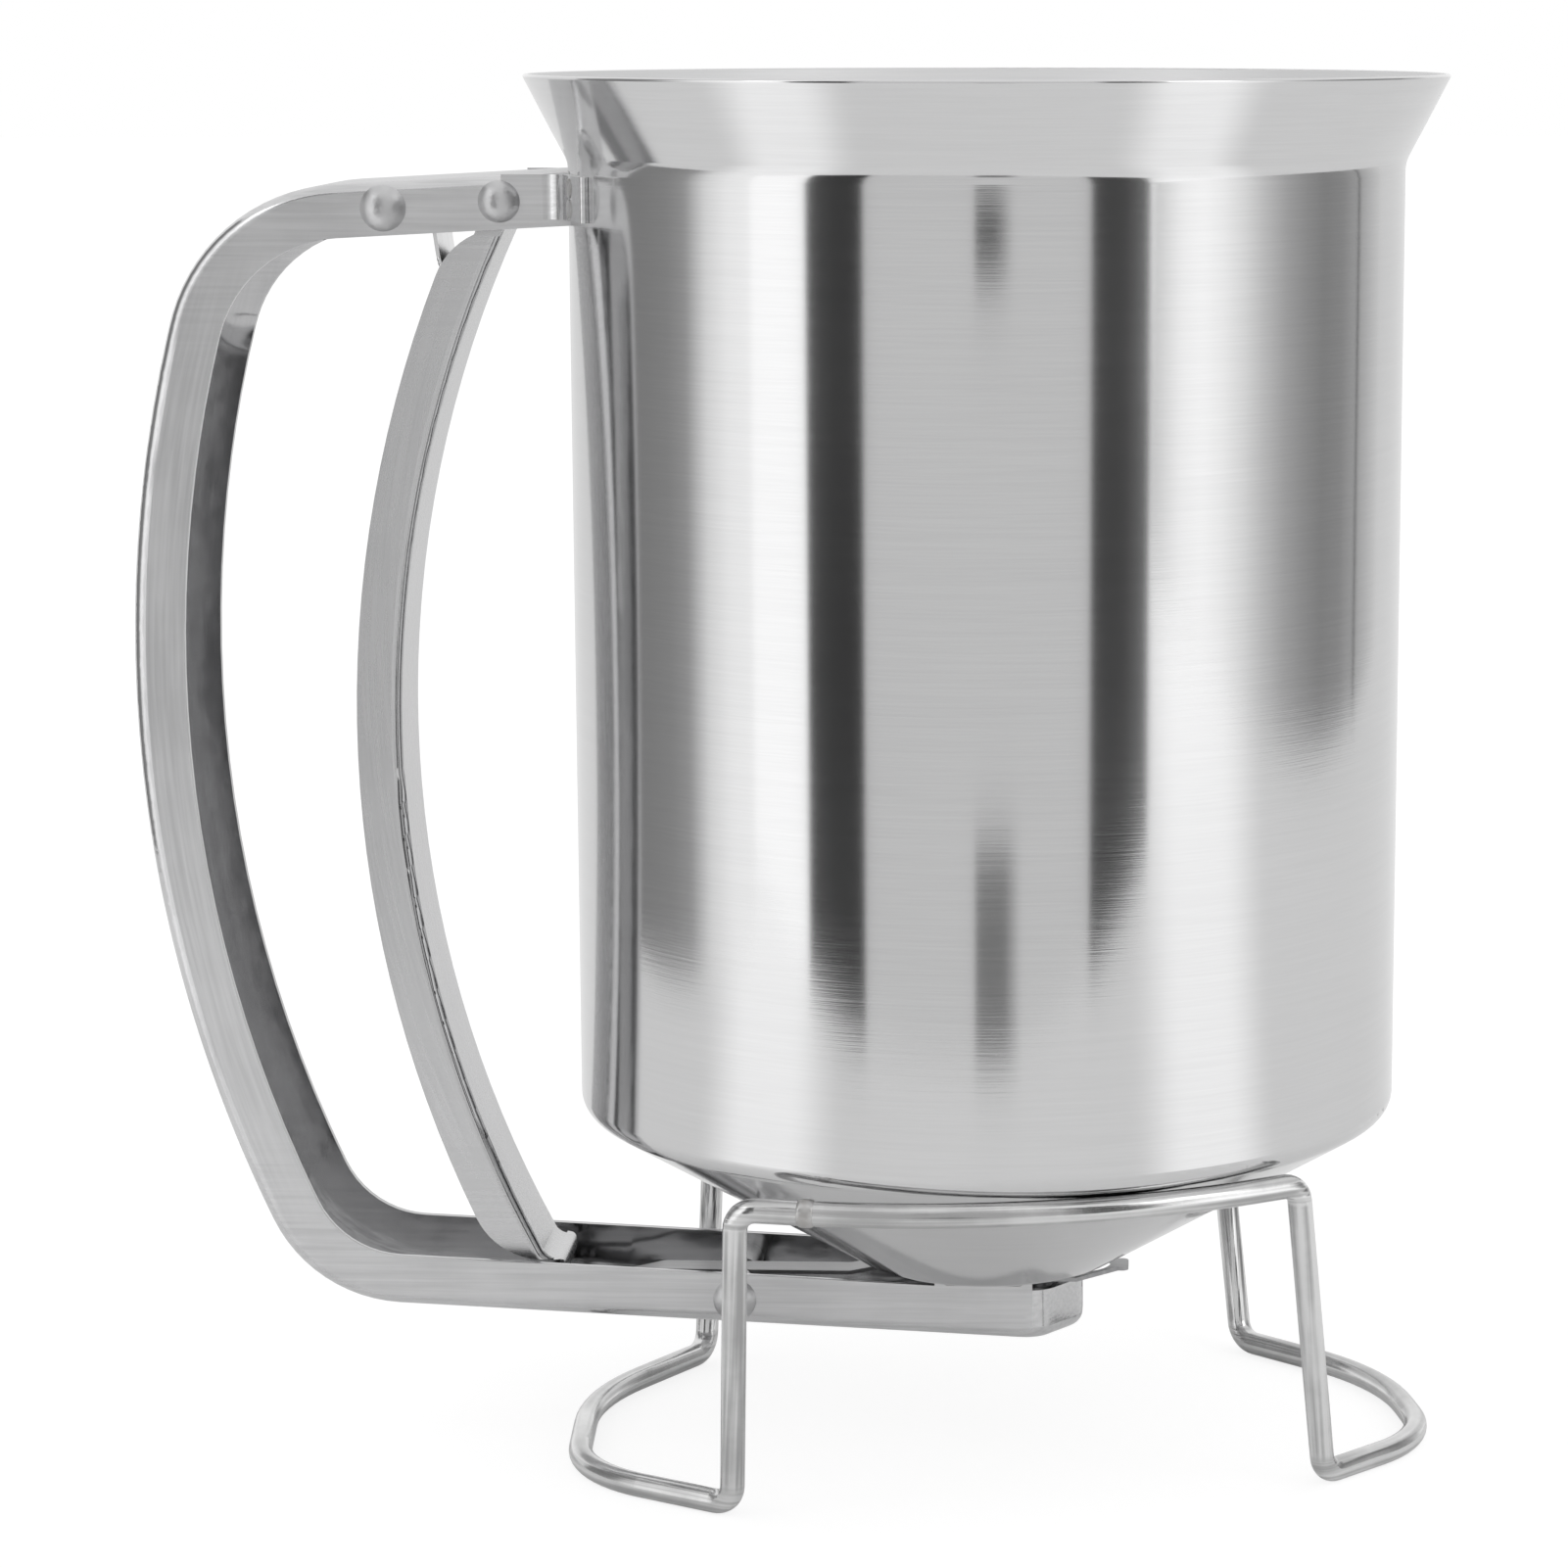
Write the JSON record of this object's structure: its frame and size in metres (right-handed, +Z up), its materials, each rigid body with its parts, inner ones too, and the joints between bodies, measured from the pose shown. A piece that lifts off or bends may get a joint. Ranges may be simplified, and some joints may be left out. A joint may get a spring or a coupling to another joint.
{
  "type": "batter dispenser",
  "caption": "Stainless batter dispenser: a flared cup with a funnel base, a trigger handle that slides a shutter under the outlet, and a bent wire rest.",
  "frame": {"origin": "on the table under the middle of the whole object, midway between the grip and the far side of the rim", "axes": "+Z up along the cup, the handle points along -X, the handle is symmetric about the XZ plane"},
  "size_m": [0.1578, 0.1104, 0.168],
  "materials": {
    "polished_steel": "polished, fine drawn lines round the cup",
    "satin_steel": "satin, brushed along the handle",
    "weld_steel": "dull weld",
    "rivet_steel": "tumbled, smooth domed heads",
    "spring_steel": "bright rolled strip",
    "wire_steel": "electropolished round wire"
  },
  "bodies": {
    "stand": {"stand_wire": "wire_steel", "stand_butt_weld": "weld_steel"},
    "dispenser": {"cup_shell": "polished_steel", "handle_channel": "satin_steel", "spot_weld_near_low": "weld_steel", "spot_weld_near_high": "weld_steel", "spot_weld_far_low": "weld_steel", "spot_weld_far_high": "weld_steel", "arm_weld_near": "weld_steel", "arm_weld_far": "weld_steel", "pivot_rivet": "rivet_steel", "spring_rivet": "rivet_steel", "guide_rivet": "rivet_steel", "pivot_spacer_near": "rivet_steel", "pivot_spacer_far": "rivet_steel", "spring_sleeve": "rivet_steel", "guide_spacer_near": "rivet_steel", "guide_spacer_far": "rivet_steel", "return_spring": "spring_steel"},
    "trigger": {"trigger_lever": "satin_steel"},
    "shutter": {"shutter_strip": "satin_steel"}
  },
  "joints": [
    {"name": "lift_off", "type": "slide", "parent": "stand", "child": "dispenser", "axis": [0, 0, 1], "range_m": [0, 0.06]},
    {"name": "trigger_pivot", "type": "hinge", "parent": "dispenser", "child": "trigger", "pos_m": [-0.03358, 0, 0.1531], "axis": [0, 1, 0], "range_deg": [0, 4.67], "stiffness_Nm_per_rad": 0.5, "springref_deg": -11.46, "deforming": ["return_spring"]},
    {"name": "shutter_slide", "type": "slide", "parent": "dispenser", "child": "shutter", "axis": [-1, 0, 0], "range_m": [0, 0.0108]}
  ],
  "couplings": [
    {"joint": "shutter_slide", "follows": "trigger_pivot", "m_per_rad": 0.1324}
  ]
}
